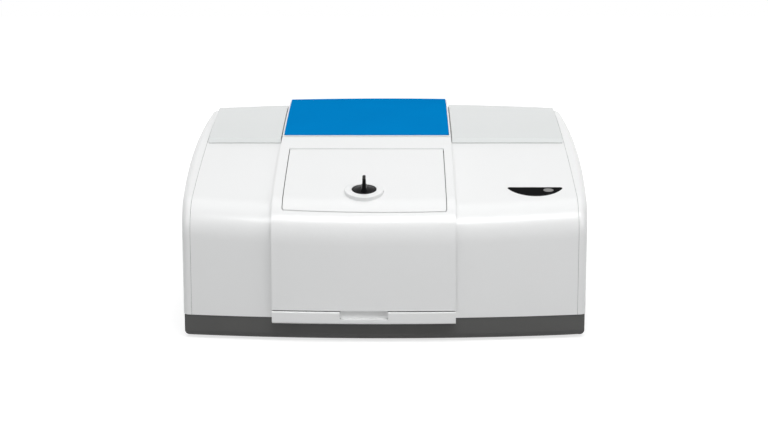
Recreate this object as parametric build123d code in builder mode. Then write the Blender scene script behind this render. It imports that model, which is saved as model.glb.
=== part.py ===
from build123d import *
from math import asin, cos, degrees, radians, sin, sqrt
import os

# Bench-top Fourier transform infrared spectrometer.
# Millimetres, +Z up, the operator stands at -Y, and the origin is under the middle of the
# instrument on the surface that its feet stand on.

# Outline of the housing, seen from above: four bowed sides
DEPTH = 390.0                 # over the front sill and the rear of the bridge
SIDE_X = 233.0                # half the width, at the corners
SIDE_BOW = 6.0                # how far each side bulges at mid depth
COVER_PROUD = 8.0             # how far the bridge stands out of the hoods
SILL_PROUD = 2.0              # how far the sill stands out of the middle cover
FRONT_BOW = 20.0              # how far the front bulges between its corners
REAR_BOW = 24.0
HOOD_FRONT_Y = -DEPTH / 2 + COVER_PROUD + SILL_PROUD
REAR_Y = DEPTH / 2 - COVER_PROUD

# Outline of the housing, seen from the side: one long arc, round at the front
COVER_REAR_Z = 238.0          # height of the bridge's arc at the rear edge
REAR_SLOPE = 6.8              # degrees
TOP_RADIUS = 1908.0           # of the bridge's long arc
FRONT_ROUND = 44.0            # of the hoods, between their front and their top
SIDE_ROUND = 9.0              # of the end panels' outer edges
ARC_Y = REAR_Y + TOP_RADIUS * sin(radians(REAR_SLOPE))
ARC_Z = COVER_REAR_Z - TOP_RADIUS * cos(radians(REAR_SLOPE))

# Base
FOOT_HEIGHT = 3.0
FOOT_R = 10.0
FOOT_INSET = (48.0, 65.0)     # from the sides and from the front and rear
FOOT_X = SIDE_X - FOOT_INSET[0]
FOOT_Y = DEPTH / 2 - FOOT_INSET[1]
BASE_TOP_Z = 28.2
BASE_INSET = 1.0              # the base lies this far inside the hoods
BASE_ROUND = 7.0
BASE_WALL = 3.5
BOSS_R = 7.0
BENCH_Z = (20.0, 30.0)
BENCH_INSET = (21.0, 45.0)
BENCH_X = SIDE_X - BENCH_INSET[0]
BENCH_Y = DEPTH / 2 - BENCH_INSET[1]
BENCH_CHAMFER = 24.0
BENCH_SCREW_R = 2.0
SCREW_HEAD_R = 3.8
SCREW_HEAD_HEIGHT = 3.6
SCREW_SINK = 4.5              # depth of the counterbores
SCREW_KEY_R = 1.7
VENT_PITCH = 14.0             # slots in the tray's floor
VENT_COUNT = 9
VENT_SLOT = (40.0, 4.0)
RIB_COUNT = 6

# Shells and their joints
WALL = 3.0
SEAM = 0.3                    # gap between two fixed mouldings
RUN_GAP = 1.0                 # gap around a lid or a cover that moves
FIT = 0.05                    # radial clearance of a pin in its bore
END_SEAM_INSET = 9.5          # the hoods end and the end panels start this far inside the corners
END_SEAM_X = SIDE_X - END_SEAM_INSET

# Bridge: the middle cover, the sample compartment under it and the fixed rear part
BRIDGE_X = (-129.0, 81.5)
BRIDGE_MID_X = sum(BRIDGE_X) / 2
HINGE_SEAM_Y = 25.0           # the rear edge of the middle cover
WELL_X = (-118.0, 70.5)       # clear width of the sample compartment
SILL_Z = (23.8, 37.8)
NOTCH_X = (-51.0, 4.0)
NOTCH_Z = 28.6
NOTCH_DEPTH = 7.0             # from the sill's foremost line to the notch's back wall
NOTCH_REAR_Y = -DEPTH / 2 + NOTCH_DEPTH
SILL_ROUND = 1.5
SILL_FLANGE = 10.5            # how far the sill's inner flange reaches in from the hoods' form
COVER_HINGE_R = 3.4           # radius of the rolled rear edge
COVER_PIN_R = 1.3

# Port lid in the middle cover
LID_X = (-116.5, 70.5)
LID_REAR_Y = -19.5
LID_FRONT_INSET = 15.0        # from the cover's front to the lid's front edge, which is bowed too
LID_ROUND = 2.0
LID_STEP = (1.6, 1.3)         # the lid's lower front edge steps back, below this thickness
LID_THICK = 2.8
LID_LEDGE = 4.0               # how far the rebate's ledge reaches under the lid
LEDGE_THICK = 2.0
LID_HINGE_R = 2.6
LID_PIN_R = 0.9
KNUCKLE_SKIN = 0.7            # what is left of a rolled edge over a hinge ear
EAR_WIDTH = 8.0
EAR_INSET = (20.0, 24.0)      # of the cover's ears and of the lid's, from the ends
PIN_LENGTH = 26.0
GASKET_WIDTH = 3.0
GASKET_THICK = 1.6

# Lid knob and its latch
KNOB_FRONT_INSET = 52.0       # from the sill's foremost line to the knob's axis
KNOB_Y = -DEPTH / 2 + KNOB_FRONT_INSET
KNOB_LEAN = 3.0               # degrees: the knob stands this much nearer to upright than the lid's face
KNOB_R = 14.0
COLLAR_R = 23.0
COLLAR_HEIGHT = 3.4
COLLAR_ROUND = 1.4
STEM_HEIGHT = 15.6
SPINDLE_R = 4.0
LATCH_DROP = 14.0             # from the lid's outer face down to the latch bar
LATCH_LENGTH = 35.0
LATCH_WIDTH = 11.0
LATCH_THICK = 2.5
LATCH_SCREW_R = 1.2
LATCH_SCREW_DEPTH = 6.0       # how deep the screw goes into the spindle
LATCH_SCREW_HEAD = (3.0, 2.0)

# Indicator window and power button in the right hood
WINDOW_SIDE_INSET = 47.3      # from the end seam to the middle of the window
WINDOW_FRONT_INSET = 81.3     # from the sill's foremost line to the window's straight edge
WINDOW_MID_X = END_SEAM_X - WINDOW_SIDE_INSET
WINDOW_REAR_Y = -DEPTH / 2 + WINDOW_FRONT_INSET
WINDOW_WIDTH = 66.0
WINDOW_DEPTH = 23.0
WINDOW_THICK = 2.0
WINDOW_CORNER = 2.0
BUTTON_SHIFT = (15.3, -7.7)   # of the button, from the middle of the straight edge
BUTTON_X = WINDOW_MID_X + BUTTON_SHIFT[0]
BUTTON_Y = WINDOW_REAR_Y + BUTTON_SHIFT[1]
BUTTON_R = (6.0, 4.4)         # half width and half depth of the oval button
BUTTON_TRAVEL = 1.0
BUTTON_HEAD = 1.4
BUTTON_STEM = 6.0
BUTTON_NECK = (1.2, 1.8)      # the hole in the hood and the stem are this much less than the button

# Raised covers at the rear of the hoods
DECK_FRONT_Y = 22.3
DECK_RISE = 5.0
DECK_BEVEL = 4.0
DECK_GAP = 2.0                # open gap between a raised cover and its neighbours
DECK_REAR_ROUND = 12.0
DECK_LIP_DROP = 48.0          # how far a raised cover reaches down the rear, from the bridge's edge
DECK_LIP_Z = COVER_REAR_Z - DECK_LIP_DROP
HATCH_INSET = (22.0, 42.0)    # the opening under a raised cover: from its front, from the rear
HATCH_SIDE = (14.0, 20.0)     # and from the bridge, from the end panel

# Blue cap on the rear of the bridge
CAP_Y = 28.0
CAP_INSET = 2.0
CAP_THICK = 2.2
CAP_SINK = 1.2
CAP_LIP_DROP = 42.0           # how far the cap reaches down the rear
CAP_LIP_Z = COVER_REAR_Z - CAP_LIP_DROP
CAP_CORNER = 2.5

# Rear connections
IO_X = (-96.0, 48.0)
IO_Z = (36.0, 92.0)
IO_PLATE_INSET = 9.0          # from the rear edge of the hoods' form to the connection plate
IO_PLATE_TOP_Z = 118.0
PLATE_THICK = 2.0
REAR_LEDGE_DEPTH = 15.0       # of the tray's ledge that the plate stands on
IO_PLATE_Y = (REAR_Y - IO_PLATE_INSET, REAR_Y - IO_PLATE_INSET + PLATE_THICK)

# Light path through the sample compartment
BEAM_FRONT_INSET = 125.0      # from the sill's foremost line
BEAM_Y = -DEPTH / 2 + BEAM_FRONT_INSET
BEAM_Z = 100.0


def span_box(x, y, z, mode=Mode.ADD):
    """A box between two X, two Y and two Z values, in the part being built."""
    with Locations(((x[0] + x[1]) / 2, (y[0] + y[1]) / 2, (z[0] + z[1]) / 2)):
        Box(x[1] - x[0], y[1] - y[0], z[1] - z[0], mode=mode)


def top_z(y, grow=0.0):
    """Height of the hoods' long arc at a depth, or of the arc that lies grow outside it."""
    radius = TOP_RADIUS - COVER_PROUD + grow
    return ARC_Z + sqrt(radius**2 - (ARC_Y - y) ** 2)


def slope_at(y, grow=0.0):
    """Slope of that arc in degrees, rising to the rear."""
    return degrees(asin((ARC_Y - y) / (TOP_RADIUS - COVER_PROUD + grow)))


def skin_plane(x, y, grow=0.0):
    """The plane that touches the arc at a point: its X is the instrument's, its Z points out."""
    slope = radians(slope_at(y, grow))
    return Plane(origin=(x, y, top_z(y, grow)), x_dir=(1, 0, 0), z_dir=(0, -sin(slope), cos(slope)))


def side_plane(x, y, grow=0.0):
    """A plane across X at the same point: its X runs up the slope and its Y points out."""
    slope = radians(slope_at(y, grow))
    return Plane(origin=(x, y, top_z(y, grow)), x_dir=(0, cos(slope), sin(slope)), z_dir=(1, 0, 0))


def footprint(grow):
    """The outline from above, grown by a distance."""
    side_x = SIDE_X + grow
    front = HOOD_FRONT_Y - grow
    rear = REAR_Y + grow
    middle = (front + FRONT_BOW + rear - REAR_BOW) / 2
    with BuildSketch() as outline:
        with BuildLine():
            ThreePointArc((-side_x, front + FRONT_BOW), (0, front), (side_x, front + FRONT_BOW))
            ThreePointArc((side_x, front + FRONT_BOW), (side_x + SIDE_BOW, middle), (side_x, rear - REAR_BOW))
            ThreePointArc((side_x, rear - REAR_BOW), (0, rear), (-side_x, rear - REAR_BOW))
            ThreePointArc(
                (-side_x, rear - REAR_BOW), (-side_x - SIDE_BOW, middle), (-side_x, front + FRONT_BOW)
            )
        make_face()
    return outline.sketch


def envelope(grow, bottom=BASE_TOP_Z + SEAM, rounded_ends=True):
    """The housing's outer form, grown by a distance: bowed footprint, arched top, round edges."""
    reach = DEPTH / 2 + FRONT_ROUND
    with BuildPart() as form:
        with BuildSketch(Plane.XY.offset(bottom)):
            add(footprint(grow))
        extrude(amount=COVER_REAR_Z + COVER_PROUD)
        with BuildSketch(Plane.YZ):
            with BuildLine():
                ThreePointArc((-reach, top_z(-reach, grow)), (0, top_z(0, grow)), (reach, top_z(reach, grow)))
                Line((reach, top_z(reach, grow)), (reach, bottom))
                Line((reach, bottom), (-reach, bottom))
                Line((-reach, bottom), (-reach, top_z(-reach, grow)))
            make_face()
        extrude(amount=SIDE_X * 2, both=True, mode=Mode.INTERSECT)
        upper = form.edges().filter_by(lambda e: e.center().Z > bottom + 1)
        across = upper.filter_by(lambda e: abs(e.center().X) < 1).sort_by(Axis.Y)
        fillet(across[0], FRONT_ROUND + grow)
        if rounded_ends:
            ends = form.edges().filter_by(
                lambda e: abs(e.center().X) > SIDE_X / 2 and e.center().Z > bottom + 1
            )
            fillet(ends, SIDE_ROUND + grow)
    return form.part


def save(part, name):
    """Labels a finished piece and writes its file."""
    part.label = name
    export_step(part, f"parts/{name}.step")


os.makedirs("parts", exist_ok=True)

# Forms that several pieces are cut from
hood_form = envelope(0)
hood_hollow = envelope(-WALL, bottom=BASE_TOP_Z)
bridge_form = envelope(COVER_PROUD, bottom=0, rounded_ends=False)
bridge_inner = envelope(COVER_PROUD - WALL, bottom=-1, rounded_ends=False)
bridge_foot = envelope(SEAM, bottom=-2, rounded_ends=False)
cover_foot = envelope(RUN_GAP, bottom=-2, rounded_ends=False)
lid_under = envelope(COVER_PROUD - LID_THICK, bottom=-2, rounded_ends=False)
ledge_under = envelope(COVER_PROUD - WALL - LEDGE_THICK, bottom=-1, rounded_ends=False)
wall_limit = envelope(0, bottom=0, rounded_ends=False)
HIGH = COVER_REAR_Z + COVER_PROUD * 2
FAR = DEPTH + SIDE_X

# Base tray: one deep moulding with bosses for the bench, on four rubber feet
foot_spots = [(sx * FOOT_X, sy * FOOT_Y) for sx in (-1, 1) for sy in (-1, 1)]
tray_floor_z = FOOT_HEIGHT + BASE_WALL
with BuildPart() as base_tray:
    with BuildSketch(Plane.XY.offset(FOOT_HEIGHT)):
        add(footprint(-BASE_INSET))
    extrude(amount=BASE_TOP_Z - FOOT_HEIGHT)
    fillet(base_tray.edges().group_by(Axis.Z)[0], BASE_ROUND)
    with BuildSketch(Plane.XY.offset(tray_floor_z)):
        add(footprint(-BASE_INSET - BASE_WALL))
    extrude(amount=BASE_TOP_Z, mode=Mode.SUBTRACT)
    with BuildSketch(Plane.XY.offset(tray_floor_z)):
        with Locations(*foot_spots):
            Circle(BOSS_R)
    extrude(amount=BENCH_Z[0] - tray_floor_z)
    with BuildSketch(Plane.XY.offset(tray_floor_z)):
        with GridLocations(BENCH_X * 2 / (RIB_COUNT + 1), 0, RIB_COUNT, 1):
            Rectangle(BASE_WALL, BENCH_Y * 2)
    extrude(amount=BASE_WALL)
    ledge_x = (IO_X[0] - SILL_FLANGE, IO_X[1] + SILL_FLANGE)
    span_box(ledge_x, (REAR_Y - REAR_LEDGE_DEPTH, REAR_Y - WALL), (tray_floor_z, BASE_TOP_Z))
    with BuildSketch(Plane.XY.offset(FOOT_HEIGHT)):
        with GridLocations(VENT_PITCH, 0, VENT_COUNT, 1):
            SlotCenterToCenter(*VENT_SLOT, rotation=90)
    extrude(amount=BASE_WALL, mode=Mode.SUBTRACT)
save(base_tray.part, "base_tray")

with BuildPart() as feet:
    with BuildSketch():
        with Locations(*foot_spots):
            Circle(FOOT_R)
    extrude(amount=FOOT_HEIGHT)
    fillet(feet.edges().group_by(Axis.Z)[0], 1)
save(feet.part, "feet")

# Optical bench: a cast plate with a chamfered outline, a rim and screw holes
with BuildPart() as optical_bench:
    with BuildSketch(Plane.XY.offset(BENCH_Z[0])):
        Rectangle(BENCH_X * 2, BENCH_Y * 2)
    extrude(amount=BENCH_Z[1] - BENCH_Z[0])
    chamfer(optical_bench.edges().filter_by(Axis.Z), BENCH_CHAMFER)
    fillet(optical_bench.edges().group_by(Axis.Z)[-1], 2)
    with Locations(*[(x, y, BENCH_Z[1]) for x, y in foot_spots]):
        CounterBoreHole(BENCH_SCREW_R + SEAM, SCREW_HEAD_R + SEAM * 2, SCREW_SINK)
save(optical_bench.part, "optical_bench")

with BuildPart() as bench_screws:
    with BuildSketch(Plane.XY.offset(BENCH_Z[1] - SCREW_SINK)):
        with Locations(*foot_spots):
            Circle(SCREW_HEAD_R)
    extrude(amount=SCREW_HEAD_HEIGHT)
    with BuildSketch(Plane.XY.offset(BENCH_Z[0])):
        with Locations(*foot_spots):
            Circle(BENCH_SCREW_R)
    extrude(amount=BENCH_Z[1] - SCREW_SINK - BENCH_Z[0])
    with BuildSketch(Plane.XY.offset(BENCH_Z[1] - SCREW_SINK + SCREW_HEAD_HEIGHT)):
        with Locations(*foot_spots):
            RegularPolygon(SCREW_KEY_R, 6)
    extrude(amount=-SCREW_HEAD_HEIGHT * 0.7, mode=Mode.SUBTRACT)
save(bench_screws.part, "bench_screws")

# Hoods: thin mouldings that end in a plain edge at the end panels and at the compartment
wall_x = (WELL_X[0] - WALL, WELL_X[1] + WALL)
sill_cut_x = (BRIDGE_X[0] - SEAM, BRIDGE_X[1] + SEAM)
hatch_y = (DECK_FRONT_Y + HATCH_INSET[0], REAR_Y - HATCH_INSET[1])
hatch_left_x = (-END_SEAM_X + HATCH_SIDE[1], BRIDGE_X[0] - HATCH_SIDE[0])
hatch_right_x = (BRIDGE_X[1] + HATCH_SIDE[0], END_SEAM_X - HATCH_SIDE[1])


def hood(x_range, hatch_x):
    """One hood, a shell between two X values, cut clear of the sill and open under its raised cover."""
    with BuildPart() as shell:
        add(hood_form)
        add(hood_hollow, mode=Mode.SUBTRACT)
        span_box(x_range, (-FAR, FAR), (0, HIGH), mode=Mode.INTERSECT)
        span_box(sill_cut_x, (-FAR, 0), (0, SILL_Z[1] + SEAM), mode=Mode.SUBTRACT)
        span_box(hatch_x, hatch_y, (BENCH_Z[1], HIGH), mode=Mode.SUBTRACT)
    return shell.part


save(hood((-END_SEAM_X + SEAM, wall_x[0] - SEAM), hatch_left_x), "left_hood")

# Indicator window: a half-moon with a straight rear edge, sunk into the right hood
chord = WINDOW_WIDTH / 2
window_plane = skin_plane(WINDOW_MID_X, WINDOW_REAR_Y)
button_plane = skin_plane(BUTTON_X, BUTTON_Y)


def half_moon(grow):
    """The half-moon outline with its straight edge at the rear, grown by a distance."""
    with BuildSketch() as moon:
        with BuildLine():
            Line((-chord, 0), (chord, 0))
            ThreePointArc((chord, 0), (0, -WINDOW_DEPTH), (-chord, 0))
        make_face()
        fillet(moon.vertices(), WINDOW_CORNER)
        if grow:
            offset(amount=grow, mode=Mode.REPLACE)
    return moon.sketch


with BuildPart() as right_hood:
    add(hood((wall_x[1] + SEAM, END_SEAM_X - SEAM), hatch_right_x))
    with BuildSketch(window_plane.offset(-WINDOW_THICK)):
        add(half_moon(SEAM))
    extrude(amount=WINDOW_THICK * 3, mode=Mode.SUBTRACT)
    with BuildSketch(button_plane.offset(-WALL * 2)):
        Ellipse(BUTTON_R[0] - BUTTON_NECK[0], BUTTON_R[1] - BUTTON_NECK[0])
    extrude(amount=WALL * 3, mode=Mode.SUBTRACT)
save(right_hood.part, "right_hood")

button_low = -WINDOW_THICK + BUTTON_TRAVEL + SEAM
with BuildPart() as status_window:
    with BuildSketch(window_plane.offset(-WINDOW_THICK)):
        add(half_moon(0))
    extrude(amount=WINDOW_THICK + SEAM)
    with BuildSketch(button_plane.offset(-WALL * 2)):
        Ellipse(BUTTON_R[0] + SEAM, BUTTON_R[1] + SEAM)
    extrude(amount=WALL * 4, mode=Mode.SUBTRACT)
save(status_window.part, "status_window")

with BuildPart() as power_button:
    with BuildSketch(button_plane.offset(button_low)):
        Ellipse(BUTTON_R[0], BUTTON_R[1])
    extrude(amount=BUTTON_HEAD)
    fillet(power_button.edges().group_by(Axis.Z)[-1], 0.4)
    with BuildSketch(button_plane.offset(button_low - BUTTON_STEM)):
        Ellipse(BUTTON_R[0] - BUTTON_NECK[1], BUTTON_R[1] - BUTTON_NECK[1])
    extrude(amount=BUTTON_STEM)
save(power_button.part, "power_button")

# End panels: the hoods' outer form from the seam outward
for side, name in ((-1, "left_cheek"), (1, "right_cheek")):
    with BuildPart() as cheek:
        add(hood_form)
        add(hood_hollow, mode=Mode.SUBTRACT)
        span_x = sorted((side * END_SEAM_X, side * FAR))
        span_box(span_x, (-FAR, FAR), (0, HIGH), mode=Mode.INTERSECT)
    save(cheek.part, name)

# Raised rear covers: plates that stand on the hoods, with a bevelled front and a lip at the rear
deck_top = envelope(DECK_RISE, bottom=0, rounded_ends=False)
deck_under = envelope(SEAM, bottom=-1, rounded_ends=False)
deck_spans = {
    "left_rear_panel": (-END_SEAM_X + DECK_GAP, BRIDGE_X[0] - DECK_GAP),
    "right_rear_panel": (BRIDGE_X[1] + DECK_GAP, END_SEAM_X - DECK_GAP),
}
for name, x_range in deck_spans.items():
    with BuildPart() as deck:
        add(deck_top)
        add(deck_under, mode=Mode.SUBTRACT)
        span_box(x_range, (DECK_FRONT_Y, FAR), (DECK_LIP_Z, HIGH), mode=Mode.INTERSECT)
        front_edge = deck.edges().filter_by(Axis.X).group_by(Axis.Y)[0].sort_by(Axis.Z)[-1]
        chamfer(front_edge, DECK_BEVEL)
        rear_edges = deck.edges().filter_by(lambda e: e.center().Y > REAR_Y - REAR_BOW * 2)
        across = rear_edges.filter_by(lambda e: e.length > (x_range[1] - x_range[0]) / 2)
        fillet(across.sort_by(Axis.Z)[-1], DECK_REAR_ROUND)
    save(deck.part, name)

# Front sill: a strip on the tray's rim under the middle cover, with the finger notch
with BuildPart() as front_sill:
    with BuildSketch(Plane.XY.offset(SILL_Z[0])):
        add(footprint(COVER_PROUD + SILL_PROUD))
        add(footprint(-BASE_INSET), mode=Mode.SUBTRACT)
    extrude(amount=SILL_Z[1] - SILL_Z[0])
    with BuildSketch(Plane.XY.offset(BASE_TOP_Z)):
        add(footprint(0))
        add(footprint(-SILL_FLANGE), mode=Mode.SUBTRACT)
    extrude(amount=WALL)
    span_box(BRIDGE_X, (-FAR, HOOD_FRONT_Y + FRONT_BOW), (0, FAR), mode=Mode.INTERSECT)
    sill_length = BRIDGE_X[1] - BRIDGE_X[0]
    along = front_sill.edges().filter_by(lambda e: e.length > sill_length * 0.9)
    fillet(along.group_by(Axis.Y)[0], SILL_ROUND)
    span_box(NOTCH_X, (-FAR, NOTCH_REAR_Y), (NOTCH_Z, SILL_Z[1] + 1), mode=Mode.SUBTRACT)
save(front_sill.part, "front_sill")

# Middle cover: a shell with turned-down sides, a rebated opening for the lid and a rolled rear edge
cover_front_z = SILL_Z[1] + RUN_GAP
cover_axis = side_plane(0, HINGE_SEAM_Y - RUN_GAP - COVER_HINGE_R, COVER_PROUD - COVER_HINGE_R)
lid_axis = side_plane(0, LID_REAR_Y - LID_HINGE_R, COVER_PROUD - LID_HINGE_R)
cover_ears_x = (WELL_X[0] + EAR_INSET[0], WELL_X[1] - EAR_INSET[0])
lid_ears_x = (LID_X[0] + EAR_INSET[1], LID_X[1] - EAR_INSET[1])


def at_x(plane, x):
    """The same cross plane moved to another X."""
    return Plane(origin=(x, plane.origin.Y, plane.origin.Z), x_dir=plane.x_dir, z_dir=plane.z_dir)


def rod(plane, x_range, radius):
    """A round bar along X about a hinge axis."""
    with BuildPart() as bar:
        with BuildSketch(at_x(plane, x_range[0])):
            Circle(radius)
        extrude(amount=x_range[1] - x_range[0])
    return bar.part


def ear_pockets(plane, radius, ears_x):
    """The room that the hinge ears need inside a rolled edge, open to its underside and rear."""
    with BuildPart() as pockets:
        for x in ears_x:
            with BuildSketch(at_x(plane, x - EAR_WIDTH / 2 - SEAM)):
                Circle(radius - KNUCKLE_SKIN)
                with Locations((0, -radius)):
                    Rectangle(radius * 4, radius * 2)
                with Locations((radius, 0)):
                    Rectangle(radius * 2, radius * 0.7)
            extrude(amount=EAR_WIDTH + SEAM * 2)
    return pockets.part


def lid_prism(grow, front_grow=0.0):
    """An upright prism over the lid's outline, grown by a distance: its front edge follows the bow."""
    with BuildPart() as prism:
        with BuildSketch():
            add(footprint(COVER_PROUD - LID_FRONT_INSET + grow + front_grow))
            with Locations((sum(LID_X) / 2, LID_REAR_Y + grow)):
                lid_width = LID_X[1] - LID_X[0] + grow * 2
                Rectangle(lid_width, FAR, align=(Align.CENTER, Align.MAX), mode=Mode.INTERSECT)
        extrude(amount=HIGH)
        fillet(prism.edges().filter_by(Axis.Z), max(LID_ROUND + grow, 1))
    return prism.part


ledge_rear_y = LID_REAR_Y - LID_HINGE_R * 2 - RUN_GAP
with BuildPart() as cover_inside:
    add(bridge_inner)
    inner_x = (BRIDGE_X[0] + WALL, BRIDGE_X[1] - WALL)
    span_box(inner_x, (-FAR, FAR), (cover_front_z + WALL, HIGH), mode=Mode.INTERSECT)
with BuildPart() as lid_ledge:
    add(lid_prism(LID_LEDGE))
    add(bridge_inner, mode=Mode.INTERSECT)
    add(ledge_under, mode=Mode.SUBTRACT)
    span_box((-FAR, FAR), (-FAR, ledge_rear_y), (0, HIGH), mode=Mode.INTERSECT)
with BuildPart() as lid_rebate:
    add(lid_prism(RUN_GAP))
    add(bridge_inner, mode=Mode.SUBTRACT)
with BuildPart() as centre_cover:
    add(bridge_form)
    add(cover_foot, mode=Mode.SUBTRACT)
    span_box(BRIDGE_X, (-FAR, cover_axis.origin.Y), (cover_front_z, HIGH), mode=Mode.INTERSECT)
    add(cover_inside.part, mode=Mode.SUBTRACT)
    add(lid_ledge.part)
    add(rod(cover_axis, BRIDGE_X, COVER_HINGE_R))
    add(rod(cover_axis, BRIDGE_X, COVER_PIN_R + FIT), mode=Mode.SUBTRACT)
    add(ear_pockets(cover_axis, COVER_HINGE_R, cover_ears_x), mode=Mode.SUBTRACT)
    add(lid_prism(-LID_LEDGE), mode=Mode.SUBTRACT)
    add(lid_rebate.part, mode=Mode.SUBTRACT)
    slot_x = (LID_X[0] - RUN_GAP, LID_X[1] + RUN_GAP)
    span_box(slot_x, (ledge_rear_y, LID_REAR_Y + RUN_GAP), (0, HIGH), mode=Mode.SUBTRACT)
save(centre_cover.part, "centre_cover")

# Port lid: a curved plate with a rolled rear edge; its lower front edge steps back, to swing clear
knob_plane = skin_plane(BRIDGE_MID_X, KNOB_Y, COVER_PROUD).rotated((-KNOB_LEAN, 0, 0))
with BuildPart() as lid_step:
    add(envelope(COVER_PROUD - LID_STEP[1], bottom=0, rounded_ends=False))
    add(lid_prism(0, -LID_STEP[0]), mode=Mode.SUBTRACT)
    span_box((-FAR, FAR), (-FAR, KNOB_Y - COLLAR_R), (0, HIGH), mode=Mode.INTERSECT)
with BuildPart() as port_lid:
    add(lid_prism(0))
    add(bridge_form, mode=Mode.INTERSECT)
    add(lid_under, mode=Mode.SUBTRACT)
    span_box((-FAR, FAR), (-FAR, lid_axis.origin.Y), (0, HIGH), mode=Mode.INTERSECT)
    add(lid_step.part, mode=Mode.SUBTRACT)
    add(rod(lid_axis, LID_X, LID_HINGE_R))
    add(rod(lid_axis, LID_X, LID_PIN_R + FIT), mode=Mode.SUBTRACT)
    add(ear_pockets(lid_axis, LID_HINGE_R, lid_ears_x), mode=Mode.SUBTRACT)
    with BuildSketch(knob_plane.offset(-LID_THICK * 2)):
        Circle(SPINDLE_R + FIT)
    extrude(amount=LID_THICK * 4, mode=Mode.SUBTRACT)
save(port_lid.part, "port_lid")

with BuildPart() as lid_gasket:
    add(lid_prism(-LID_LEDGE - RUN_GAP * 2))
    add(lid_prism(-LID_LEDGE - RUN_GAP * 2 - GASKET_WIDTH), mode=Mode.SUBTRACT)
    add(lid_under, mode=Mode.INTERSECT)
    add(envelope(COVER_PROUD - LID_THICK - GASKET_THICK, bottom=-3, rounded_ends=False), mode=Mode.SUBTRACT)
    span_box((-FAR, FAR), (-FAR, ledge_rear_y - RUN_GAP * 4), (0, HIGH), mode=Mode.INTERSECT)
save(lid_gasket.part, "lid_gasket")

# Hinge ears and pins: the lid's are fixed under the cover, the cover's stand on the rear wall
EAR_NECK = 0.8                # half thickness of an ear's neck
EAR_REACH = (11.0, 5.6)       # how far the ear runs to the rear, and below the pin's axis
EAR_SEAT = 5.0                # where its pad under the cover starts
EAR_ARM = 1.8                 # thickness of its arm
skin_drop = LID_HINGE_R - WALL - FIT
with BuildPart() as lid_hinge_ears:
    for x in lid_ears_x:
        with BuildSketch(at_x(lid_axis, x - EAR_WIDTH / 2)):
            Circle(LID_HINGE_R - KNUCKLE_SKIN - SEAM)
            with BuildLine():
                Polyline(
                    (-EAR_NECK, 0),
                    (-EAR_NECK, -EAR_REACH[1]),
                    (EAR_REACH[0], -EAR_REACH[1]),
                    (EAR_REACH[0], skin_drop),
                    (EAR_SEAT, skin_drop),
                    (EAR_SEAT, -EAR_REACH[1] + EAR_ARM),
                    (EAR_NECK, -EAR_REACH[1] + EAR_ARM),
                    (EAR_NECK, 0),
                    close=True,
                )
            make_face()
            Circle(LID_PIN_R + FIT, mode=Mode.SUBTRACT)
        extrude(amount=EAR_WIDTH)
save(lid_hinge_ears.part, "lid_hinge_ears")

wall_y = (cover_axis.origin.Y - WALL / 2, cover_axis.origin.Y + WALL / 2)
ear_drop = COVER_HINGE_R - COVER_PROUD
with BuildPart() as cover_hinge_ears:
    for x in cover_ears_x:
        with BuildSketch(at_x(cover_axis, x - EAR_WIDTH / 2)):
            Circle(COVER_HINGE_R - KNUCKLE_SKIN - SEAM)
            with Locations((0, ear_drop / 2)):
                Rectangle(WALL * 0.8, -ear_drop)
            Circle(COVER_PIN_R + FIT, mode=Mode.SUBTRACT)
        extrude(amount=EAR_WIDTH)
save(cover_hinge_ears.part, "cover_hinge_ears")

for name, plane, radius, ears_x in (
    ("lid_hinge_pins", lid_axis, LID_PIN_R, lid_ears_x),
    ("cover_hinge_pins", cover_axis, COVER_PIN_R, cover_ears_x),
):
    with BuildPart() as pins:
        for x in ears_x:
            add(rod(plane, (x - PIN_LENGTH / 2, x + PIN_LENGTH / 2), radius))
    save(pins.part, name)

# Knob: a raised collar on the lid, a disc with an upright grip, a spindle and the latch arm below
with BuildPart() as lid_collar:
    with BuildSketch(knob_plane.offset(-LID_THICK)):
        Circle(COLLAR_R)
        Circle(KNOB_R + SEAM * 2, mode=Mode.SUBTRACT)
    extrude(amount=COLLAR_HEIGHT + LID_THICK)
    rim = lid_collar.edges().filter_by(GeomType.CIRCLE).sort_by(lambda e: e.center().dot(knob_plane.z_dir))
    fillet(rim[-2:].filter_by(lambda e: e.radius > KNOB_R + 1), COLLAR_ROUND)
    add(bridge_form, mode=Mode.SUBTRACT)
save(lid_collar.part, "lid_collar")

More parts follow.
